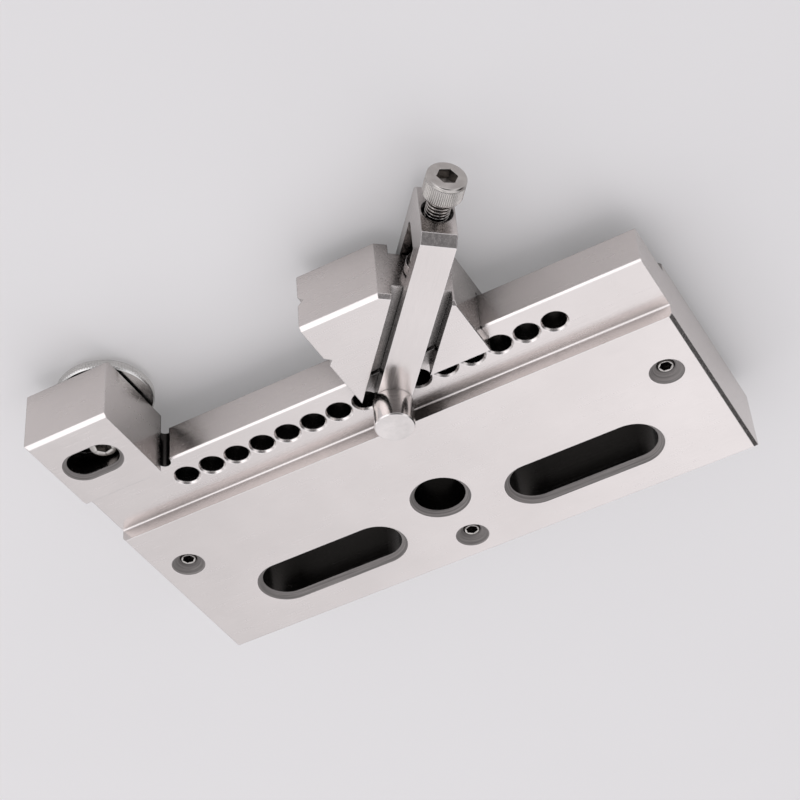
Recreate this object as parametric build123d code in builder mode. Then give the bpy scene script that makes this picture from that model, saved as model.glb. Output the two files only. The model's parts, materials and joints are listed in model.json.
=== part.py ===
from build123d import *
import math
import os

# Wire-cutting vise in ground stainless steel, millimetres.
# Origin: axis of the centre bore, on the seating face (underside) of the body.
# +Z is up, +X runs along the rail towards the fixed jaw, +Y runs from the jaws to the plate.

# ---- driving dimensions: body ----
body_length = 210.0
body_thickness = 25.0
body_depth = 100.0          # from the rail's front face to the plate's back edge
plate_back_y = 36.5
rail_thickness = 15.0
hole_row_inset = 10.5       # pin holes, behind the rail's front face
step_inset = 23.5           # plate's step, behind the rail's front face
step_fillet = 0.8
edge_chamfer = 1.3
fine_chamfer = 0.7

pin_hole_pitch = 10.0
pin_hole_count = 15
pin_diameter = 8.0
running_gap = 0.05          # radial gap of every shaft and thread in its hole

slot_width = 18.0
slot_length = 55.0
slot_spacing = 100.0
slot_y = 11.5
slot_chamfer = 2.0
centre_bore = 18.0
centre_chamfer = 1.8

# ---- driving dimensions: jaws ----
jaw_throat = 35.0           # jaw front, ahead of the rail's front face
fixed_jaw_width = 32.0
jaw_seat_gap = 0.7          # fixed jaw's recess starts this far ahead of the rail
corner_relief = 4.2         # diameter
relief_forward = 0.3        # relief's axis, ahead of the clamping face
relief_back = 0.6           # relief's axis, behind the rail's front face
moving_jaw_length = 47.5
moving_jaw_face_x = -1.0
cheek_reach = 6.3           # how far the saddle's cheeks reach over the rail
slide_gap = 0.06            # gap between flat sliding faces
saddle_relief = 1.4
vee_depth = 2.0
upright_vee_y = -80.8
channel_width = 19.6
channel_floor_drop = 0.2    # channel floor, below the rail's top

# ---- driving dimensions: clamping yoke ----
yoke_angle = 50.0           # between the rail and the yoke, in plan
yoke_hole_number = 9        # counted from the fixed jaw
yoke_width = 11.5
yoke_length = 74.0          # pin axis to the outer end
yoke_bridge = 11.3
yoke_proud = 0.6            # legs stand this far above and below the body
leg_gap = 0.25              # legs clear the rail by this much
yoke_chamfer = 3.0
yoke_fillet = 2.5
tapped_chamfer = 1.2
bevel_distance = 47.4       # pin axis to the moving jaw's bevelled corner
pin_head_diameter = 13.5
pin_head_height = 11.0
pin_head_chamfer = 0.4
pin_point_chamfer = 0.8

# ---- driving dimensions: screws ----
clamp_thread = 8.0
clamp_head_diameter = 13.0
clamp_head_height = 8.0
clamp_head_distance = 80.6  # pin axis to the underside of the head
clamp_hex = 6.0
clamp_hex_depth = 4.0
head_chamfer = 0.8
pad_diameter = 10.6
pad_thickness = 4.0
pad_gap = 0.1
pad_crown = 30.0            # radius of the pad's crowned face
point_diameter = 5.4
point_length = 2.4

levelling_thread = 6.0
levelling_length = 20.0
levelling_sink = 2.3        # top of the screw, below the plate's top
levelling_hex = 3.0
levelling_hex_depth = 3.5
levelling_top_chamfer = 0.6
levelling_point_chamfer = 1.5
levelling_countersink = 12.0
levelling_places = ((93.0, -16.5), (0.0, 24.8), (-93.0, -16.5))

stop_slot_y = -80.8
stop_slot_x = 89.5
stop_slot_travel = 8.0
stop_slot_width = 11.2
stop_slot_chamfer = 1.5
stop_thread = 6.0
stop_shank_slot = 6.6
stop_head_diameter = 10.0
stop_head_height = 6.0
stop_head_sink = 5.0
stop_hex = 5.0
stop_hex_depth = 3.0
knob_gap = 0.1
knob_diameter = 34.0
knob_hub_diameter = 16.0
knob_hub_height = 1.0
knob_rim_height = 3.2
knob_dome_height = 1.6
knob_bore_depth = 5.0
knob_bore_spare = 1.0       # bore left empty below the stop screw

cutter = 120.0              # longer than any cut made with it

# ---- places worked out from them ----
rail_front_y = plate_back_y - body_depth
hole_row_y = rail_front_y + hole_row_inset
step_y = rail_front_y + step_inset
jaw_front_y = rail_front_y - jaw_throat
half_length = body_length / 2
recess = (body_thickness - rail_thickness) / 2
rail_top = recess + rail_thickness
mid_height = body_thickness / 2
fixed_face_x = half_length - fixed_jaw_width
first_hole_x = (pin_hole_count - 1) / 2 * pin_hole_pitch
pin_x = first_hole_x - (yoke_hole_number - 1) * pin_hole_pitch
moving_end_x = moving_jaw_face_x - moving_jaw_length
fit_radius = pin_diameter / 2 + running_gap

# The yoke points away from the plate and from the fixed jaw, level with the rail.
yoke_dir = Vector(-math.cos(math.radians(yoke_angle)), -math.sin(math.radians(yoke_angle)), 0)
pin_point = Vector(pin_x, hole_row_y, 0)
axis_point = Vector(pin_x, hole_row_y, mid_height)

# Side view of the yoke: local X along the yoke, local Y up, seen square to its flank.
yoke_side = Plane(origin=pin_point, x_dir=yoke_dir, z_dir=yoke_dir.cross(Vector(0, 0, 1)))
# Plan view of the yoke: local X along the yoke.
yoke_plan = Plane(origin=pin_point, x_dir=yoke_dir, z_dir=(0, 0, 1))


def across_yoke(distance):
    """Plane square to the yoke at a distance from the pin axis, facing outwards."""
    return Plane(origin=axis_point + yoke_dir * distance, x_dir=(0, 0, 1), z_dir=yoke_dir)


def edges_on(part, axis, place, along, level=None, near=0.01):
    """Edges parallel to one axis, whose middle lies at a place on another one."""
    found = []
    for edge in part.edges().filter_by(along):
        centre = edge.center()
        value = {Axis.X: centre.X, Axis.Y: centre.Y, Axis.Z: centre.Z}[axis]
        if abs(value - place) < near and (level is None or abs(centre.Z - level) < near):
            found.append(edge)
    return found


os.makedirs("parts", exist_ok=True)

# ---- body: slotted plate, rail with the row of pin holes, and the fixed jaw, in one piece ----
with BuildPart() as vise_body:
    with BuildSketch(Plane.XY):
        with Locations((0, plate_back_y - body_depth / 2)):
            Rectangle(body_length, body_depth)
        with Locations((fixed_face_x + fixed_jaw_width / 2, rail_front_y - jaw_throat / 2)):
            Rectangle(fixed_jaw_width, jaw_throat)
    extrude(amount=body_thickness)
    # the rail is thinner than the plate, on both faces
    recess_front_y = rail_front_y - jaw_seat_gap
    for low in (0, rail_top):
        with BuildSketch(Plane.XY.offset(low)):
            with Locations((0, (recess_front_y + step_y) / 2)):
                Rectangle(body_length, step_y - recess_front_y)
        extrude(amount=recess, mode=Mode.SUBTRACT)
    step_edges = edges_on(vise_body, Axis.Y, step_y, Axis.X, recess)
    step_edges += edges_on(vise_body, Axis.Y, step_y, Axis.X, rail_top)
    fillet(step_edges, step_fillet)
    # outer edges of the plate, the jaw and the rail
    for level in (0, body_thickness):
        outer = edges_on(vise_body, Axis.X, half_length, Axis.Y, level)
        outer += edges_on(vise_body, Axis.X, -half_length, Axis.Y, level)
        outer += edges_on(vise_body, Axis.Y, plate_back_y, Axis.X, level)
        outer += edges_on(vise_body, Axis.Y, jaw_front_y, Axis.X, level)
        chamfer(outer, edge_chamfer)
    for level in (recess, rail_top):
        chamfer(edges_on(vise_body, Axis.Y, rail_front_y, Axis.X, level), fine_chamfer)
    # corner relief, full height, where the clamping face meets the rail
    with Locations((fixed_face_x - relief_forward, rail_front_y + relief_back)):
        Hole(corner_relief / 2)
    # row of pin holes
    with BuildSketch(Plane.XY):
        with Locations((0, hole_row_y)):
            with GridLocations(pin_hole_pitch, 1, pin_hole_count, 1):
                Circle(fit_radius)
    extrude(amount=body_thickness, mode=Mode.SUBTRACT)
    rims = vise_body.edges().filter_by(GeomType.CIRCLE)
    rims = [e for e in rims if abs(e.radius - fit_radius) < 0.01]
    chamfer(rims, fine_chamfer)
    # holding slots and centre bore; the bore keeps a full wall down to the seating face
    with BuildSketch(Plane.XY):
        with Locations((0, slot_y)):
            with GridLocations(slot_spacing, 1, 2, 1):
                SlotOverall(slot_length, slot_width)
    extrude(amount=body_thickness, mode=Mode.SUBTRACT)
    for level in (0, body_thickness):
        slot_rims = [
            e for e in vise_body.edges()
            if abs(e.center().Z - level) < 0.01
            and abs(e.center().Y - slot_y) < slot_width / 2 + 0.1
            and abs(abs(e.center().X) - slot_spacing / 2) < slot_length / 2 + 0.1
        ]
        chamfer(slot_rims, slot_chamfer)
    with Locations((0, 0)):
        Hole(centre_bore / 2)
    bore_rims = vise_body.edges().filter_by(GeomType.CIRCLE)
    top_rim = [e for e in bore_rims if (e.arc_center - Vector(0, 0, body_thickness)).length < 0.01]
    chamfer(top_rim, centre_chamfer)
    # tapped holes for the levelling screws
    with Locations(*[(x, y, body_thickness) for x, y in levelling_places]):
        CounterSinkHole(levelling_thread / 2 + running_gap, levelling_countersink / 2, counter_sink_angle=90)
    # stepped slot through the fixed jaw
    ledge = body_thickness - stop_head_sink - stop_head_height
    with BuildSketch(Plane.XY):
        with Locations((stop_slot_x, stop_slot_y)):
            SlotCenterToCenter(stop_slot_travel, stop_shank_slot)
    extrude(amount=body_thickness, mode=Mode.SUBTRACT)
    with BuildSketch(Plane.XY.offset(ledge)):
        with Locations((stop_slot_x, stop_slot_y)):
            SlotCenterToCenter(stop_slot_travel, stop_slot_width)
    extrude(amount=body_thickness - ledge, mode=Mode.SUBTRACT)
    stop_rims = [
        e for e in vise_body.edges()
        if abs(e.center().Z - body_thickness) < 0.01
        and abs(e.center().X - stop_slot_x) < (stop_slot_travel + stop_slot_width) / 2 + 0.1
        and abs(e.center().Y - stop_slot_y) < stop_slot_width / 2 + 0.1
    ]
    chamfer(stop_rims, stop_slot_chamfer)
vise_body.part.label = "vise_body"
export_step(vise_body.part, "parts/vise_body.step")

# ---- moving jaw: saddle over the rail, bevelled corner, channels for the yoke's legs ----
saddle_back_y = rail_front_y - slide_gap
with BuildPart() as movable_jaw:
    cheek_end_y = saddle_back_y + cheek_reach
    with BuildSketch(Plane.XY):
        with Locations(((moving_jaw_face_x + moving_end_x) / 2, (jaw_front_y + cheek_end_y) / 2)):
            Rectangle(moving_jaw_length, cheek_end_y - jaw_front_y)
    extrude(amount=body_thickness)
    # room for the rail between the two cheeks
    with BuildSketch(Plane.YZ.offset(moving_end_x)):
        with Locations((saddle_back_y + cheek_reach / 2, mid_height)):
            Rectangle(cheek_reach, rail_thickness + 2 * slide_gap)
        for side in (-1, 1):
            with Locations((saddle_back_y, mid_height + side * (rail_thickness / 2 + slide_gap))):
                Circle(saddle_relief / 2)
    extrude(amount=moving_jaw_length, mode=Mode.SUBTRACT)
    # bevelled corner that takes the screw's push
    with BuildSketch(yoke_plan):
        with Locations((bevel_distance + cutter / 2, 0)):
            Rectangle(cutter, cutter)
    extrude(amount=body_thickness, mode=Mode.SUBTRACT)
    # chamfers around the front
    for level in (0, body_thickness):
        front = edges_on(movable_jaw, Axis.Y, jaw_front_y, Axis.X, level)
        slanted = [
            e for e in movable_jaw.edges()
            if abs(e.center().Z - level) < 0.01
            and abs((e.center() - pin_point).dot(yoke_dir) - bevel_distance) < 0.01
        ]
        chamfer(front + slanted, edge_chamfer)
        chamfer(edges_on(movable_jaw, Axis.X, moving_end_x, Axis.Y, level), fine_chamfer / 2)
    # a channel for each leg of the yoke
    for low in (0, rail_top - channel_floor_drop):
        with BuildSketch(yoke_plan.offset(low)):
            Rectangle(cutter, channel_width)
        extrude(amount=recess + channel_floor_drop, mode=Mode.SUBTRACT)
    # crossed vee grooves in the clamping face
    with BuildSketch(Plane.XY):
        with Locations((moving_jaw_face_x, upright_vee_y)):
            Rectangle(vee_depth * math.sqrt(2), vee_depth * math.sqrt(2), rotation=45)
    extrude(amount=body_thickness, mode=Mode.SUBTRACT)
    with BuildSketch(Plane.XZ.offset(-saddle_back_y)):
        with Locations((moving_jaw_face_x, mid_height)):
            Rectangle(vee_depth * math.sqrt(2), vee_depth * math.sqrt(2), rotation=45)
    extrude(amount=jaw_throat, mode=Mode.SUBTRACT)
movable_jaw.part.label = "movable_jaw"
export_step(movable_jaw.part, "parts/movable_jaw.step")

# ---- yoke: stirrup that straddles the rail and the moving jaw ----
yoke_low = -yoke_proud
yoke_high = body_thickness + yoke_proud
leg_low_top = recess - leg_gap
leg_high_bottom = rail_top + leg_gap
with BuildPart() as clamp_yoke:
    with BuildSketch(yoke_side):
        with BuildLine():
            Polyline(
                (-yoke_width / 2, yoke_low),
                (yoke_length - yoke_chamfer, yoke_low),
                (yoke_length, yoke_low + yoke_chamfer),
                (yoke_length, yoke_high - yoke_chamfer),
                (yoke_length - yoke_chamfer, yoke_high),
                (-yoke_width / 2, yoke_high),
                close=True,
            )
        make_face()
        with Locations(((yoke_length - yoke_bridge) / 2 - yoke_width / 2, mid_height)):
            window_length = yoke_length - yoke_bridge + yoke_width
            Rectangle(window_length, leg_high_bottom - leg_low_top, mode=Mode.SUBTRACT)
    extrude(amount=yoke_width / 2, both=True)
    inner = [
        e for e in clamp_yoke.edges()
        if abs((e.center() - pin_point).dot(yoke_dir) - (yoke_length - yoke_bridge)) < 0.01
        and abs(abs(e.center().Z - mid_height) - (leg_high_bottom - mid_height)) < 0.01
    ]
    fillet(inner, yoke_fillet)
    # legs end in a half round about the pin
    with BuildSketch(yoke_plan.offset(yoke_low)):
        Circle(yoke_width / 2)
        with Locations((yoke_length / 2, 0)):
            Rectangle(yoke_length, yoke_width)
    extrude(amount=yoke_high - yoke_low, mode=Mode.INTERSECT)
    # pin bore through both legs
    with BuildSketch(yoke_plan.offset(yoke_low)):
        Circle(fit_radius)
    extrude(amount=yoke_high - yoke_low, mode=Mode.SUBTRACT)
    # tapped hole through the bridge
    with BuildSketch(across_yoke(yoke_length)):
        Circle(clamp_thread / 2 + running_gap)
    extrude(amount=-yoke_bridge, mode=Mode.SUBTRACT)
    tapped = [
        e for e in clamp_yoke.edges().filter_by(GeomType.CIRCLE)
        if abs(e.radius - clamp_thread / 2 - running_gap) < 0.01 and abs(e.arc_center.Z - mid_height) < 0.01
    ]
    bridge_middle = yoke_length - yoke_bridge / 2
    outer_rim = [e for e in tapped if (e.arc_center - axis_point).dot(yoke_dir) > bridge_middle]
    inner_rim = [e for e in tapped if (e.arc_center - axis_point).dot(yoke_dir) < bridge_middle]
    chamfer(outer_rim, tapped_chamfer)
    chamfer(inner_rim, fine_chamfer)
clamp_yoke.part.label = "clamp_yoke"
export_step(clamp_yoke.part, "parts/clamp_yoke.step")

# ---- pull-out pin that holds the yoke in one of the rail's holes ----
with BuildPart() as yoke_pin:
    with BuildSketch(yoke_plan.offset(yoke_low)):
        Circle(pin_diameter / 2)
    extrude(amount=yoke_high + slide_gap - yoke_low)
    chamfer(yoke_pin.faces().sort_by(Axis.Z)[0].edges(), pin_point_chamfer)
    with BuildSketch(yoke_plan.offset(yoke_high + slide_gap)):
        Circle(pin_head_diameter / 2)
    extrude(amount=pin_head_height)
    chamfer(yoke_pin.faces().sort_by(Axis.Z)[-1].edges(), pin_head_chamfer)
yoke_pin.part.label = "yoke_pin"
export_step(yoke_pin.part, "parts/yoke_pin.step")

# ---- pressure pad: crowned face towards the bevel, socket for the screw's point behind ----
pad_front = bevel_distance + pad_gap
pad_radius = pad_diameter / 2
pad_back = pad_front + pad_thickness
socket_radius = point_diameter / 2 + running_gap
socket_floor = pad_back - point_length


def crown_at(radius):
    """How far the pad's crowned face has fallen back at a radius."""
    return pad_crown - math.sqrt(pad_crown**2 - radius**2)


with BuildPart() as pressure_pad:
    with BuildSketch(yoke_side):
        with BuildLine():
            ThreePointArc(
                (pad_front, mid_height),
                (pad_front + crown_at(pad_radius / 2), mid_height + pad_radius / 2),
                (pad_front + crown_at(pad_radius), mid_height + pad_radius),
            )
            Polyline(
                (pad_front + crown_at(pad_radius), mid_height + pad_radius),
                (pad_back, mid_height + pad_radius),
                (pad_back, mid_height + socket_radius),
                (socket_floor, mid_height + socket_radius),
                (socket_floor, mid_height),
                (pad_front, mid_height),
            )
        make_face()
    revolve(axis=Axis(axis_point, yoke_dir))
pressure_pad.part.label = "pressure_pad"
export_step(pressure_pad.part, "parts/pressure_pad.step")


def hexagon(plane, across_flats):
    """Outline of a hexagon socket on a plane."""
    with BuildSketch(plane) as outline:
        RegularPolygon(across_flats / 2, 6, major_radius=False)
    return outline.sketch


# ---- clamping screw: socket head cap screw with a plain point that turns in the pad ----
point_end = socket_floor + running_gap
shoulder = pad_back + running_gap
head_face = clamp_head_distance + clamp_head_height
with BuildPart() as clamp_screw:
    with BuildSketch(across_yoke(point_end)):
        Circle(point_diameter / 2)
    extrude(amount=shoulder - point_end)
    with BuildSketch(across_yoke(shoulder)):
        Circle(clamp_thread / 2)
    extrude(amount=clamp_head_distance - shoulder)
    with BuildSketch(across_yoke(clamp_head_distance)):
        Circle(clamp_head_diameter / 2)
    extrude(amount=clamp_head_height)
    top_rim = [e for e in clamp_screw.edges().filter_by(GeomType.CIRCLE)
               if abs((e.arc_center - pin_point).dot(yoke_dir) - head_face) < 0.01]
    chamfer(top_rim, head_chamfer)
    extrude(hexagon(across_yoke(head_face), clamp_hex), amount=-clamp_hex_depth, mode=Mode.SUBTRACT)
clamp_screw.part.label = "clamp_screw"
export_step(clamp_screw.part, "parts/clamp_screw.step")

# ---- levelling screws: socket set screws in the plate's three tapped holes ----
levelling_top = body_thickness - levelling_sink
for number, (place_x, place_y) in enumerate(levelling_places, start=1):
    with BuildPart() as levelling_screw:
        screw_top = Plane(origin=(place_x, place_y, levelling_top))
        with BuildSketch(screw_top.offset(-levelling_length)):
            Circle(levelling_thread / 2)
        extrude(amount=levelling_length)
        chamfer(levelling_screw.faces().sort_by(Axis.Z)[0].edges(), levelling_point_chamfer)
        chamfer(levelling_screw.faces().sort_by(Axis.Z)[-1].edges(), levelling_top_chamfer)
        extrude(hexagon(screw_top, levelling_hex), amount=-levelling_hex_depth, mode=Mode.SUBTRACT)
    levelling_screw.part.label = f"levelling_screw_{number}"
    export_step(levelling_screw.part, f"parts/levelling_screw_{number}.step")

# ---- stop: a cap screw that slides in the fixed jaw's slot, and the knurled knob below it ----
stop_x = stop_slot_x - stop_slot_travel / 2
stop_plan = Plane(origin=(stop_x, stop_slot_y, 0))
stop_head_top = body_thickness - stop_head_sink
stop_shank_end = -knob_gap - knob_bore_depth + knob_bore_spare
with BuildPart() as stop_screw:
    with BuildSketch(stop_plan.offset(stop_shank_end)):
        Circle(stop_thread / 2)
    extrude(amount=ledge - stop_shank_end)
    chamfer(stop_screw.faces().sort_by(Axis.Z)[0].edges(), fine_chamfer)
    with BuildSketch(stop_plan.offset(ledge)):
        Circle(stop_head_diameter / 2)
    extrude(amount=stop_head_height)
    chamfer(stop_screw.faces().sort_by(Axis.Z)[-1].edges(), head_chamfer)
    stop_head_plane = stop_plan.offset(stop_head_top)
    extrude(hexagon(stop_head_plane, stop_hex), amount=-stop_hex_depth, mode=Mode.SUBTRACT)
stop_screw.part.label = "stop_screw"
export_step(stop_screw.part, "parts/stop_screw.step")

knob_radius = knob_diameter / 2
rim_top = -knob_gap - knob_hub_height
rim_bottom = rim_top - knob_rim_height
dome_edge = knob_radius - fine_chamfer
dome_edge_z = rim_bottom - fine_chamfer
dome_radius = (dome_edge**2 + knob_dome_height**2) / (2 * knob_dome_height)
knob_bottom = dome_edge_z - knob_dome_height
dome_middle_z = knob_bottom + dome_radius - math.sqrt(dome_radius**2 - (dome_edge / 2) ** 2)
with BuildPart() as stop_knob:
    with BuildSketch(Plane(origin=(stop_x, stop_slot_y, 0), x_dir=(1, 0, 0), z_dir=(0, -1, 0))):
        with BuildLine():
            Polyline(
                (0, knob_bottom),
                (0, -knob_gap),
                (knob_hub_diameter / 2, -knob_gap),
                (knob_hub_diameter / 2, rim_top),
                (knob_radius - fine_chamfer, rim_top),
                (knob_radius, rim_top - fine_chamfer),
                (knob_radius, rim_bottom),
                (dome_edge, dome_edge_z),
            )
            ThreePointArc((dome_edge, dome_edge_z), (dome_edge / 2, dome_middle_z), (0, knob_bottom))
        make_face()
    revolve(axis=Axis((stop_x, stop_slot_y, 0), (0, 0, 1)))
    with BuildSketch(stop_plan.offset(-knob_gap)):
        Circle(stop_thread / 2 + running_gap)
    extrude(amount=-knob_bore_depth, mode=Mode.SUBTRACT)
stop_knob.part.label = "stop_knob"
export_step(stop_knob.part, "parts/stop_knob.step")
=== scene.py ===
import json
import math

import bpy
from mathutils import Matrix, Vector

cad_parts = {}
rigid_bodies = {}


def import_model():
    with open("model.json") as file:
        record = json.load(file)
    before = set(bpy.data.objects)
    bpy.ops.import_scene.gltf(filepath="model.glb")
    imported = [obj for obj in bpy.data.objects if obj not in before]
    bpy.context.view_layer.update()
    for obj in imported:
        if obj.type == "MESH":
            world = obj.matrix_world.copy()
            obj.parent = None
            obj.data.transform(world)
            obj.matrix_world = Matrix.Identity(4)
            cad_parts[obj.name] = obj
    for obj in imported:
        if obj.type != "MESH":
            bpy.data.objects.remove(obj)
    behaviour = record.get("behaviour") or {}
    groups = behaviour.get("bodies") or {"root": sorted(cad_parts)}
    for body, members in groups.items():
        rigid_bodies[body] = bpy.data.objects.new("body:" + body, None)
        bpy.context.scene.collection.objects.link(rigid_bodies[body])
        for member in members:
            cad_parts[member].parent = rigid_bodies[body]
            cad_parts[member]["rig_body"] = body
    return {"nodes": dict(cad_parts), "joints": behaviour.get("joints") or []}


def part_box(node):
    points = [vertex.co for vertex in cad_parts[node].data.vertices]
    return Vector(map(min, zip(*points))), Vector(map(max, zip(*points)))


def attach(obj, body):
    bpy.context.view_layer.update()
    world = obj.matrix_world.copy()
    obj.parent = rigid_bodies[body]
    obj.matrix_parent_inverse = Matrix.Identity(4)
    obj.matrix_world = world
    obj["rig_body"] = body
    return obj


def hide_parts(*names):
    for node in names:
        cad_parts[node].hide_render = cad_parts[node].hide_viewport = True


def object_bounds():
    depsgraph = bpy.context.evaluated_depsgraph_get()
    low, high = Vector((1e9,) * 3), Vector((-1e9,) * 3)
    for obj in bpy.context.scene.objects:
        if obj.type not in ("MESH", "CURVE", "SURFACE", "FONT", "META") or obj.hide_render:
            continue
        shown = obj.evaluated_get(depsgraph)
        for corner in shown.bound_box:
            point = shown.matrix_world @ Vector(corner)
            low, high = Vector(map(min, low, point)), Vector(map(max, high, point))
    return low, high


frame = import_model()
cad_box = [list(corner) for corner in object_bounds()]
nodes = frame["nodes"]
MM = 0.001

# strength of the light all round, and power of the one lamp in watts
AMBIENT = 0.87
KEY_POWER = 1.3

# boxes in plan, as two corners, that say where a ground part gets painted shade: its slanted rims, which are
# also rougher, and its upright walls inside the plate and in the corner relief
PLATE_INSIDE = ((-104 * MM, -39 * MM), (104 * MM, 36 * MM))
PLATE_RIMS = ((-102 * MM, -38 * MM), (102 * MM, 34 * MM))
STOP_RIM = ((77 * MM, -89.5 * MM), (102 * MM, -72 * MM))
CORNER_RELIEF = ((70.3 * MM, -65.3 * MM), (75.1 * MM, -60.5 * MM))

# colours
STEEL = (0.775, 0.725, 0.705)
PIN_STEEL = (0.82, 0.775, 0.755)
SCREW_STEEL = (0.55, 0.52, 0.495)
KNOB_STEEL = (0.72, 0.71, 0.69)
# rubbed edges: lighter as wear, and partly as a painted edge highlight
RUBBED_WITH_HIGHLIGHT = (0.86, 0.85, 0.84)
RUBBED_SCREW_WITH_HIGHLIGHT = (0.84, 0.83, 0.81)
# painted shade for the slanted rims of the openings, dark and light
RIM_SHADE_DARK = (0.13, 0.12, 0.115)
RIM_SHADE_LIGHT = (0.27, 0.25, 0.24)
# painted shade for upright faces
SIDE_SHADE = (0.2, 0.19, 0.18)
# painted shade, near black, for holes, slots and the walls inside the plate's openings
HOLE_SHADE = (0.03, 0.028, 0.026)
# painted shade for screw threads, knurls and sockets
THREAD_SHADE = (0.05, 0.045, 0.042)
GROOVE_SHADE = (0.1, 0.092, 0.085)


# ---------------------------------------------------------------- camera
AZIMUTH = math.radians(-24.883)
ELEVATION = math.radians(42.043)
ROLL = math.radians(174.627)
DISTANCE = 0.69195
TARGET = Vector((-0.0123, -0.05217, 0.025))
LENS_MM = 94.576


def add_camera():
    """The view from above the rail, rolled almost upside down."""
    back = Vector((
        math.sin(AZIMUTH) * math.cos(ELEVATION),
        -math.cos(AZIMUTH) * math.cos(ELEVATION),
        math.sin(ELEVATION),
    ))
    level = Vector((math.cos(AZIMUTH), math.sin(AZIMUTH), 0))
    upright = back.cross(level)
    right = level * math.cos(ROLL) + upright * math.sin(ROLL)
    up = back.cross(right)
    data = bpy.data.cameras.new("camera")
    data.sensor_width = 36
    data.lens = LENS_MM
    data.clip_start = 0.01
    camera = bpy.data.objects.new("camera", data)
    turned = Matrix((right, up, back)).transposed().to_4x4()
    camera.matrix_world = Matrix.Translation(TARGET + back * DISTANCE) @ turned
    bpy.context.scene.collection.objects.link(camera)
    bpy.context.scene.camera = camera


# ---------------------------------------------------------------- node material helpers
class Nodes:
    """A node tree, with short calls for the nodes used here."""

    def __init__(self, owner):
        owner.use_nodes = True
        self.owner = owner
        self.tree = owner.node_tree
        self.shader = self.tree.nodes.get("Principled BSDF")

    def link(self, source, target):
        self.tree.links.new(source, target)

    def add(self, kind, **inputs):
        node = self.tree.nodes.new(kind)
        for key, value in inputs.items():
            node.inputs[key.replace("_", " ")].default_value = value
        return node

    def place(self, scale, turn=0.0):
        """Object coordinates with X turned to a direction, then stretched, per millimetre."""
        coordinates = self.add("ShaderNodeTexCoord")
        mapping = self.add("ShaderNodeMapping", Scale=[MM / s for s in scale], Rotation=(0, 0, turn))
        mapping.vector_type = "TEXTURE"
        self.link(coordinates.outputs["Object"], mapping.inputs["Vector"])
        return mapping.outputs["Vector"]

    def position(self):
        """The three object coordinates, apart."""
        split = self.tree.nodes.new("ShaderNodeSeparateXYZ")
        self.link(self.add("ShaderNodeTexCoord").outputs["Object"], split.inputs[0])
        return split

    def noise(self, vector, scale, detail=2.0, rough=0.5):
        node = self.add("ShaderNodeTexNoise", Scale=scale, Detail=detail, Roughness=rough)
        self.link(vector, node.inputs["Vector"])
        return node.outputs["Fac"]

    def ramp(self, value, low, high, from_min=0.0, from_max=1.0):
        node = self.tree.nodes.new("ShaderNodeMapRange")
        node.inputs["From Min"].default_value = from_min
        node.inputs["From Max"].default_value = from_max
        node.inputs["To Min"].default_value = low
        node.inputs["To Max"].default_value = high
        self.link(value, node.inputs["Value"])
        return node.outputs["Result"]

    def math(self, operation, a, b):
        node = self.tree.nodes.new("ShaderNodeMath")
        node.operation = operation
        for socket, value in zip(node.inputs, (a, b)):
            if isinstance(value, (int, float)):
                socket.default_value = value
            else:
                self.link(value, socket)
        return node.outputs[0]

    def absolute(self, value):
        return self.math("ABSOLUTE", value, 0)

    def times(self, a, b):
        return self.math("MULTIPLY", a, b)

    def near(self, value, middle, reach):
        """1 where a value is within a reach of a middle, else 0."""
        return self.math("LESS_THAN", self.absolute(self.math("SUBTRACT", value, middle)), reach)

    def mix(self, factor, a, b):
        node = self.tree.nodes.new("ShaderNodeMix")
        node.data_type = "RGBA"
        self.link(factor, node.inputs["Factor"])
        for socket, value in ((node.inputs[6], a), (node.inputs[7], b)):
            if isinstance(value, tuple):
                socket.default_value = (*value, 1)
            else:
                self.link(value, socket)
        return node.outputs[2]

    def edge(self, radius):
        """0 on flat ground and up to 1 along the part's edges."""
        bevel = self.tree.nodes.new("ShaderNodeBevel")
        bevel.samples = 4
        bevel.inputs["Radius"].default_value = radius
        geometry = self.add("ShaderNodeNewGeometry")
        dot = self.tree.nodes.new("ShaderNodeVectorMath")
        dot.operation = "DOT_PRODUCT"
        self.link(bevel.outputs[0], dot.inputs[0])
        self.link(geometry.outputs["True Normal"], dot.inputs[1])
        return self.ramp(dot.outputs["Value"], 1.0, 0.0, 0.86, 1.0), bevel.outputs[0]

    def openness(self, reach):
        """How much of its surroundings a point sees: 1 in the open, near 0 deep in a hole."""
        node = self.tree.nodes.new("ShaderNodeAmbientOcclusion")
        node.samples = 6
        node.inputs["Distance"].default_value = reach
        return node.outputs["AO"]

    def recess(self, openness, shut, clear):
        """0 in the open and 1 deep in holes and slots, where shade is painted."""
        return self.ramp(openness, 1.0, 0.0, shut, clear)

    def steepness(self):
        """Size of the true normal's Z: 1 on level faces and 0 on upright ones."""
        geometry = self.add("ShaderNodeNewGeometry")
        normal = self.tree.nodes.new("ShaderNodeSeparateXYZ")
        self.link(geometry.outputs["True Normal"], normal.inputs[0])
        return self.absolute(normal.outputs["Z"])

    def milled_rims_shaded(self):
        """1 on the slanted rims of the plate's and the stop's openings, which are milled and not ground; they
        get painted shade as well as a rougher finish.
        """
        slanted = self.near(self.steepness(), 0.7, 0.12)
        return self.times(slanted, self.math("ADD", self.within(*PLATE_RIMS), self.within(*STOP_RIM)))

    def upright(self):
        """1 on upright faces."""
        return self.math("LESS_THAN", self.steepness(), 0.3)

    def within(self, low, high):
        """1 inside an upright box that has two corners in plan."""
        place = self.position()
        x = self.near(place.outputs["X"], (low[0] + high[0]) / 2, (high[0] - low[0]) / 2)
        y = self.near(place.outputs["Y"], (low[1] + high[1]) / 2, (high[1] - low[1]) / 2)
        return self.times(x, y)

    def bump(self, height, strength, distance, normal=None):
        node = self.add("ShaderNodeBump", Strength=strength, Distance=distance)
        self.link(height, node.inputs["Height"])
        if normal is not None:
            self.link(normal, node.inputs["Normal"])
        return node.outputs["Normal"]


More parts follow.
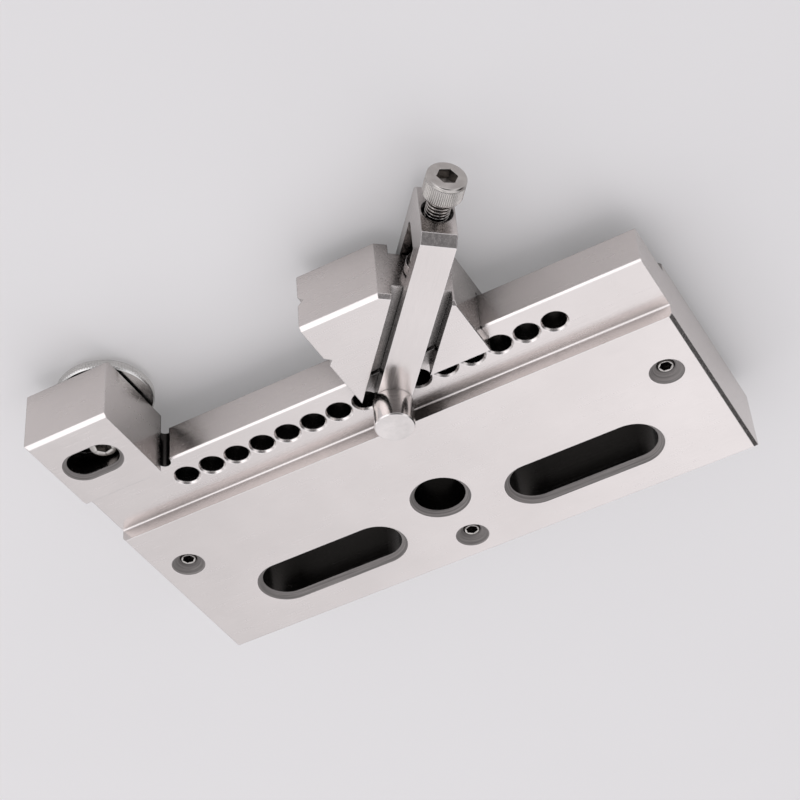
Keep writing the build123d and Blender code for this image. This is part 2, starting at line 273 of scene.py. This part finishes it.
def ground_steel(name, turn=0.0, rough=(0.2, 0.27)):
    """Surface-ground stainless steel, with its grinding lines along one direction.

    It has faint clouds, bright rubbed edges that also carry a painted edge highlight, matt milled rims
    painted dark as shade, upright sides with painted shade, and painted shade in its holes and slots.
    """
    n = Nodes(bpy.data.materials.new(name))
    lines = n.noise(n.place((0.03, 1.6, 1.6), turn), 5.0, 3.0, 0.7)
    broad_lines = n.noise(n.place((0.01, 0.6, 0.6), turn), 2.0, 3.0, 0.6)
    clouds = n.noise(n.place((0.03, 0.03, 0.03)), 1.0, 3.0, 0.5)
    marks = n.noise(n.place((0.25, 0.25, 0.25)), 1.0, 4.0, 0.65)
    cutter_marks = n.noise(n.place((0.02, 0.02, 1.4)), 2.0, 3.0, 0.7)
    rub_and_highlight, rounded = n.edge(0.45 * MM)
    openness = n.openness(30 * MM)
    slanted = n.milled_rims_shaded()
    upright = n.upright()

    # colour: ground face, rubbed edges with a painted edge highlight, milled rims painted dark as shade,
    # sides with painted shade, walls in the openings with painted shade, then painted shade deep in the holes
    dark = tuple(c * 0.94 for c in STEEL)
    bright = tuple(c * 1.03 for c in STEEL)
    shade = n.math("ADD", n.times(lines, 0.45), n.times(clouds, 0.55))
    base = n.mix(n.ramp(shade, 0.0, 1.0, 0.36, 0.64), dark, bright)
    # the rubbed edges lighten the colour, as wear and partly as a painted edge highlight
    worn_and_highlit = n.mix(n.times(rub_and_highlight, 0.6), base, RUBBED_WITH_HIGHLIGHT)
    # the slanted rims are painted dark: painted shade, with a rougher finish set below
    rim_shade = n.mix(n.ramp(cutter_marks, 0.0, 1.0, 0.4, 0.6), RIM_SHADE_DARK, RIM_SHADE_LIGHT)
    milled_rims_shaded = n.mix(n.times(slanted, 0.92), worn_and_highlit, rim_shade)
    # upright faces are darkened a fifth of the way to a dark tone: painted shade
    sides = n.mix(n.times(upright, 0.2), milled_rims_shaded, SIDE_SHADE)
    # the upright walls inside the plate's openings and the corner relief are painted near black: painted
    # shade
    shaded = n.math("ADD", n.within(*PLATE_INSIDE), n.within(*CORNER_RELIEF))
    shaded_walls = n.mix(n.times(n.times(upright, shaded), 0.9), sides, HOLE_SHADE)
    # where ambient occlusion finds a recess, the colour goes to near black: painted shade
    n.link(n.mix(n.recess(openness, 0.3, 0.6), shaded_walls, HOLE_SHADE), n.shader.inputs["Base Color"])

    # gloss
    grain = n.ramp(broad_lines, rough[0], rough[1], 0.35, 0.65)
    smudge = n.ramp(marks, -0.01, 0.015, 0.35, 0.65)
    roughness = n.math("ADD", n.math("ADD", grain, smudge), n.times(slanted, 0.5))
    n.link(roughness, n.shader.inputs["Roughness"])
    n.link(n.ramp(slanted, 1.0, 0.35), n.shader.inputs["Metallic"])
    n.link(n.bump(lines, 0.06, 0.01 * MM, rounded), n.shader.inputs["Normal"])
    return n.owner


def turned_steel(name, colour, rough=(0.14, 0.24)):
    """Turned and polished steel: fine rings about Z, faint clouds and small rubs at the edges, which also
    carry a painted edge highlight.
    """
    n = Nodes(bpy.data.materials.new(name))
    rings = n.noise(n.place((0.04, 0.04, 1.0)), 3.0, 2.0, 0.6)
    clouds = n.noise(n.place((0.12, 0.12, 0.12)), 1.0, 3.0, 0.55)
    rub_and_highlight, rounded = n.edge(0.2 * MM)
    dark = tuple(c * 0.86 for c in colour)
    base = n.mix(n.ramp(clouds, 0.0, 1.0, 0.35, 0.65), dark, colour)
    # the rubbed edges lighten the colour, as wear and partly as a painted edge highlight
    n.link(n.mix(n.times(rub_and_highlight, 0.5), base, RUBBED_WITH_HIGHLIGHT), n.shader.inputs["Base Color"])
    n.link(n.ramp(rings, rough[0], rough[1], 0.35, 0.65), n.shader.inputs["Roughness"])
    n.shader.inputs["Metallic"].default_value = 1.0
    n.link(n.bump(rings, 0.1, 0.01 * MM, rounded), n.shader.inputs["Normal"])
    return n.owner


def screw_steel(name, colour):
    """Stainless fastener: satin, slightly mottled, with painted shade in its thread, knurl and socket, and
    rubbed edges that also carry a painted edge highlight.
    """
    n = Nodes(bpy.data.materials.new(name))
    grain = n.noise(n.place((0.9, 0.9, 0.9)), 2.0, 4.0, 0.6)
    clouds = n.noise(n.place((0.2, 0.2, 0.2)), 1.0, 3.0, 0.5)
    rub_and_highlight, rounded = n.edge(0.12 * MM)
    dark = tuple(c * 0.78 for c in colour)
    base = n.mix(n.ramp(clouds, 0.0, 1.0, 0.35, 0.65), dark, colour)
    # the rubbed edges lighten the colour, as wear and partly as a painted edge highlight
    worn_and_highlit = n.mix(n.times(rub_and_highlight, 0.5), base, RUBBED_SCREW_WITH_HIGHLIGHT)
    # painted shade in the thread roots, knurl and socket, where ambient occlusion finds a recess
    roots = n.recess(n.openness(4 * MM), 0.25, 0.72)
    grooves = n.recess(n.openness(0.7 * MM), 0.4, 0.95)
    groove_shaded = n.mix(n.times(grooves, 0.6), worn_and_highlit, GROOVE_SHADE)
    n.link(n.mix(n.times(roots, 0.85), groove_shaded, THREAD_SHADE), n.shader.inputs["Base Color"])
    n.link(n.ramp(grain, 0.17, 0.27, 0.35, 0.65), n.shader.inputs["Roughness"])
    n.shader.inputs["Metallic"].default_value = 1.0
    n.link(n.bump(grain, 0.1, 0.02 * MM, rounded), n.shader.inputs["Normal"])
    return n.owner


def paint(obj, material):
    if obj.data.materials:
        for index in range(len(obj.data.materials)):
            obj.data.materials[index] = material
    else:
        obj.data.materials.append(material)


# ---------------------------------------------------------------- turned and threaded pieces
SIDES = 96
SHARP_ANGLE = math.radians(28)
THREAD_STEPS = 12


def turned(name, stations, sides=SIDES):
    """Closed mesh about local Z. A station is a height and a radius, or a height and a radius at an angle."""
    points, faces = [], []
    for height, radius in stations:
        for k in range(sides):
            angle = 2 * math.pi * k / sides
            r = radius(angle) if callable(radius) else radius
            points.append((r * math.cos(angle) * MM, r * math.sin(angle) * MM, height * MM))
    for ring in range(len(stations) - 1):
        low, high = ring * sides, (ring + 1) * sides
        for k in range(sides):
            after = (k + 1) % sides
            faces.append((low + k, low + after, high + after, high + k))
    faces.append(tuple(reversed(range(sides))))
    last = (len(stations) - 1) * sides
    faces.append(tuple(range(last, last + sides)))
    mesh = bpy.data.meshes.new(name)
    mesh.from_pydata(points, [], faces)
    mesh.polygons.foreach_set("use_smooth", [True] * len(mesh.polygons))
    mesh.set_sharp_from_angle(angle=SHARP_ANGLE)
    mesh.update()
    piece = bpy.data.objects.new(name, mesh)
    bpy.context.scene.collection.objects.link(piece)
    return piece


def hexagon(across_flats):
    """Radius of a hexagon at an angle; its corners lie on multiples of 60 degrees."""
    def radius(angle):
        local = angle % (math.pi / 3) - math.pi / 6
        return across_flats / 2 / math.cos(local)
    return radius


def knurled(radius, teeth, depth):
    """Radius of a straight knurl at an angle."""
    def at(angle):
        phase = angle * teeth / (2 * math.pi) % 1.0
        return radius - depth * abs(2 * phase - 1) ** 1.4
    return at


def thread(low, high, pitch, radius, depth, fade=0.8):
    """Stations of a right-hand thread between two heights, running out at both ends."""
    def station(z):
        def at(angle):
            phase = (z / pitch - angle / (2 * math.pi)) % 1.0
            crest = max(0.0, min(1.0, 2.4 * abs(2 * phase - 1) - 0.55))
            ends = min(1.0, (z - low) / (fade * pitch), (high - z) / (fade * pitch))
            return radius - depth * (1 - crest) * max(0.0, ends)
        return (z, at)
    count = max(2, round((high - low) / pitch * THREAD_STEPS))
    return [station(low + (high - low) * k / count) for k in range(count + 1)]


def socket(top, across_flats, depth, lead=0.35):
    """Stations of a hexagon socket, from the top face down to its floor."""
    hexed = hexagon(across_flats)
    return [
        (top, across_flats / 2 / math.cos(math.pi / 6) + lead * 0.6),
        (top - lead * 0.5, lambda angle: hexed(angle) + 0.04),
        (top - lead, hexed),
        (top - depth, hexed),
        (top - depth - 0.25, lambda angle: hexed(angle) * 0.55),
        (top - depth - 0.5, 0.02),
    ]


def cap_screw(name, head, head_height, shank, length, pitch, hexed, hex_depth, teeth, edge, point=None):
    """Socket head cap screw about local Z, top of the head at 0.

    The head's knurl has this many teeth, and its edge is rounded to this radius.
    A point is a diameter and a length.
    """
    radius, half = head / 2, shank / 2
    knurl = knurled(radius, teeth, 0.26)
    under = -head_height
    end = under - length
    stations = []
    if point:
        tip, reach = point
        stations += [(end - reach, tip / 2 - 0.4), (end - reach + 0.4, tip / 2), (end, tip / 2)]
        stations += [(end, half - 0.85)]
    else:
        stations += [(end, half - 0.9)]
    stations += thread(end + 0.6, under - 0.35, pitch, half, 0.61 * pitch)
    stations += [(under, half), (under, radius - 0.55)]
    stations += [(under + 0.18, radius - 0.38), (under + 0.5, radius - 0.28)]
    stations += [(under + 0.75, knurl), (-edge - 1.1, knurl), (-edge - 0.85, radius - 0.28)]
    stations += [(-edge - 0.65, radius - 0.05), (-edge, radius - 0.05)]
    for k in range(1, 5):
        turn = math.pi / 2 * k / 4
        stations.append((-edge + edge * math.sin(turn), radius - 0.05 - edge * (1 - math.cos(turn))))
    stations += socket(0, hexed, hex_depth)
    return turned(name, stations, sides=teeth * 6)


def set_screw(name, shank, length, pitch, hexed, hex_depth):
    """Socket set screw about local Z, top at 0, with a cup point."""
    half = shank / 2
    stations = [(-length + 0.9, 0.05), (-length, 1.3), (-length + 0.02, 1.55)]
    stations += thread(-length + 1.5, -0.9, pitch, half, 0.6 * pitch, fade=0.5)
    stations += [(-0.8, half - 0.05), (-0.12, half - 0.4), (0, half - 0.5)]
    stations += socket(0, hexed, hex_depth, lead=0.3)
    return turned(name, stations)


def put(piece, origin, direction, turn=0.0):
    """Stands a piece's local Z along a direction, with its origin at a point of the row frame."""
    facing = Vector(direction).normalized().to_track_quat("Z", "Y").to_matrix().to_4x4()
    piece.data.transform(Matrix.Translation(origin) @ facing @ Matrix.Rotation(turn, 4, "Z"))


# ---------------------------------------------------------------- build
joints = {joint["name"]: joint for joint in frame["joints"]}
push = Vector(joints["screw_turn"]["axis"])
yoke_turn = math.atan2(push.y, push.x)

body_steel = ground_steel("ground_steel_body")
jaw_steel = ground_steel("ground_steel_jaw", rough=(0.21, 0.28))
yoke_steel = ground_steel("ground_steel_yoke", turn=yoke_turn, rough=(0.16, 0.26))
pin_steel = turned_steel("pin_steel", PIN_STEEL)
fastener = screw_steel("screw_steel", SCREW_STEEL)
knob_steel = turned_steel("knob_steel", KNOB_STEEL, rough=(0.18, 0.3))

paint(nodes["vise_body"], body_steel)
paint(nodes["movable_jaw"], jaw_steel)
paint(nodes["clamp_yoke"], yoke_steel)
paint(nodes["yoke_pin"], pin_steel)
paint(nodes["pressure_pad"], pin_steel)


def corners(name):
    low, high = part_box(name)
    return low, high, (low + high) / 2


def finish_piece(piece, node, material):
    paint(piece, material)
    body = nodes[node]["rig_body"]
    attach(piece, body)
    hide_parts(node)


# screws, in millimetres
CLAMP = {"head": 13.0, "head_height": 8.0, "shank": 8.0, "pitch": 1.25, "hexed": 6.0, "hex_depth": 4.0}
CLAMP |= {"teeth": 60, "edge": 0.8}
CLAMP_POINT = (5.3, 2.4)
LEVELLING = {"shank": 6.0, "pitch": 1.0, "hexed": 3.7, "hex_depth": 3.5}
STOP = {"head": 10.0, "head_height": 6.0, "shank": 6.0, "pitch": 1.0, "hexed": 5.0, "hex_depth": 3.0}
STOP |= {"teeth": 48, "edge": 0.6}

# clamping screw: the top of its head is where the CAD's reaches furthest out along the yoke
outwards = -push
on_axis = Vector(joints["screw_turn"]["pos_m"])
along = [(v.co - on_axis).dot(outwards) for v in nodes["clamp_screw"].data.vertices]
screw_length = (max(along) - min(along)) / MM - CLAMP["head_height"] - CLAMP_POINT[1]
clamp = cap_screw("clamp_screw_threaded", length=screw_length, point=CLAMP_POINT, **CLAMP)
put(clamp, on_axis + outwards * max(along), outwards, turn=math.radians(8))
finish_piece(clamp, "clamp_screw", fastener)

# levelling screws
for number in (1, 2, 3):
    low, high, middle = corners(f"levelling_screw_{number}")
    piece = set_screw(f"levelling_screw_{number}_threaded", length=(high.z - low.z) / MM, **LEVELLING)
    put(piece, Vector((middle.x, middle.y, high.z)), (0, 0, 1), turn=math.radians(17 + 31 * number))
    finish_piece(piece, f"levelling_screw_{number}", fastener)

# stop screw
low, high, middle = corners("stop_screw")
stop_length = (high.z - low.z) / MM - STOP["head_height"]
stop = cap_screw("stop_screw_threaded", length=stop_length, **STOP)
put(stop, Vector((middle.x, middle.y, high.z)), (0, 0, 1), turn=math.radians(12))
finish_piece(stop, "stop_screw", fastener)

# knurled, domed knob below the stop screw: hub and bore, rim, then the dome down to its lowest point
KNOB_HUB, KNOB_BORE, KNOB_BORE_DEPTH = 8.0, 3.05, 5.0
KNOB_TEETH, KNOB_TOOTH_SIDES, KNOB_KNURL = 100, 6, 0.3
RIM_TOP, RIM_FOOT = -1.0, -4.2
DOME_STEPS = 12
low, high, middle = corners("stop_knob")
knob_radius = (high.x - low.x) / 2 / MM
tall = (high.z - low.z) / MM
rim = knurled(knob_radius, KNOB_TEETH, KNOB_KNURL)
dome_edge, dome_top = knob_radius - 0.7, RIM_FOOT - 0.7
dome_height = tall + dome_top
dome_radius = (dome_edge**2 + dome_height**2) / (2 * dome_height)
stations = [
    (-KNOB_BORE_DEPTH, 0.02),
    (-KNOB_BORE_DEPTH, KNOB_BORE),
    (-0.3, KNOB_BORE),
    (0.0, KNOB_BORE + 0.25),
    (0.0, KNOB_HUB - 0.3),
    (-0.3, KNOB_HUB),
    (RIM_TOP, KNOB_HUB),
    (RIM_TOP, knob_radius - 0.75),
    (RIM_TOP - 0.12, knob_radius - 0.55),
    (RIM_TOP - 0.5, knob_radius - 0.25),
    (RIM_TOP - 0.65, rim),
    (RIM_FOOT + 0.15, rim),
    (RIM_FOOT - 0.05, knob_radius - 0.28),
]
for k in range(DOME_STEPS + 1):
    r = dome_edge * (1 - k / DOME_STEPS) + 0.02
    stations.append((-tall + dome_radius - math.sqrt(dome_radius**2 - r * r), r))
knob = turned("stop_knob_knurled", stations[::-1], sides=KNOB_TEETH * KNOB_TOOTH_SIDES)
put(knob, Vector((middle.x, middle.y, high.z)), (0, 0, 1))
finish_piece(knob, "stop_knob", knob_steel)


# ---------------------------------------------------------------- floor and light
FLOOR_SIZE = 8
FLOOR_GAP = 0.3 * MM
FLOOR_DARK = (0.56, 0.545, 0.55)
FLOOR_LIGHT = (0.60, 0.585, 0.59)
FLOOR_GLOW = (1.0, 0.985, 0.99, 1)


def add_floor():
    """A plain pale floor, just below the lowest point of the object."""
    half = FLOOR_SIZE / 2
    mesh = bpy.data.meshes.new("floor")
    outline = [(-half, -half, 0), (half, -half, 0), (half, half, 0), (-half, half, 0)]
    mesh.from_pydata(outline, [], [(0, 1, 2, 3)])
    floor = bpy.data.objects.new("floor", mesh)
    bpy.context.scene.collection.objects.link(floor)
    floor.location = (0, 0, cad_box[0][2] - FLOOR_GAP)
    n = Nodes(bpy.data.materials.new("floor"))
    cloud = n.noise(n.place((0.004, 0.004, 0.004)), 1.0, 4.0, 0.55)
    n.link(n.mix(cloud, FLOOR_DARK, FLOOR_LIGHT), n.shader.inputs["Base Color"])
    n.shader.inputs["Roughness"].default_value = 0.6
    n.shader.inputs["Emission Color"].default_value = FLOOR_GLOW
    n.shader.inputs["Emission Strength"].default_value = 0.2
    paint(floor, n.owner)


def area_light(name, direction, distance, size, power, aim):
    """A square soft box in a direction from the point it faces."""
    data = bpy.data.lights.new(name, "AREA")
    data.shape = "RECTANGLE"
    data.size, data.size_y = size, size
    data.energy = power
    lamp = bpy.data.objects.new(name, data)
    direction = Vector(direction).normalized()
    facing = direction.to_track_quat("Z", "Y").to_matrix().to_4x4()
    lamp.matrix_world = Matrix.Translation(Vector(aim) + direction * distance) @ facing
    bpy.context.scene.collection.objects.link(lamp)


# patches of the surroundings: a direction, and the angles where each begins to fade and ends
DIM_FRONT = ((-0.44, -0.58, 0.69), 18, 36)
DIM_BACK = ((-0.75, 0.66, 0.12), 22, 40)
BRIGHT_FRONT = ((0.42, -0.64, 0.68), 10, 28)


def studio():
    """Soft light from all round: brighter towards -X, with two dim patches and a bright one."""
    n = Nodes(bpy.data.worlds.new("studio"))
    ray = n.add("ShaderNodeTexCoord").outputs["Generated"]

    def lobe(direction, inner, outer):
        """1 within the inner angle of a direction, down to 0 at the outer one."""
        dot = n.tree.nodes.new("ShaderNodeVectorMath")
        dot.operation = "DOT_PRODUCT"
        n.link(ray, dot.inputs[0])
        dot.inputs[1].default_value = Vector(direction).normalized()
        fade = math.cos(math.radians(outer)), math.cos(math.radians(inner))
        return n.ramp(dot.outputs["Value"], 0.0, 1.0, *fade)

    split = n.tree.nodes.new("ShaderNodeSeparateXYZ")
    n.link(ray, split.inputs[0])
    level = n.ramp(split.outputs["X"], 1.34, 0.82, 0.12, 0.5)
    level = n.times(level, n.ramp(lobe(*DIM_FRONT), 1.0, 0.14))
    level = n.times(level, n.ramp(lobe(*DIM_BACK), 1.0, 0.05))
    level = n.math("ADD", level, n.ramp(lobe(*BRIGHT_FRONT), 0.0, 0.85))
    background = n.tree.nodes["Background"]
    background.inputs["Color"].default_value = (0.975, 0.97, 1.0, 1)
    n.link(n.times(level, AMBIENT), background.inputs["Strength"])
    return n.owner


add_floor()
area_light("key", (1.0, 0.15, 0.75), 1.2, 0.9, KEY_POWER, aim=(0, -0.03, 0.01))
bpy.context.scene.world = studio()
bpy.context.scene.view_settings.view_transform = "Standard"

add_camera()
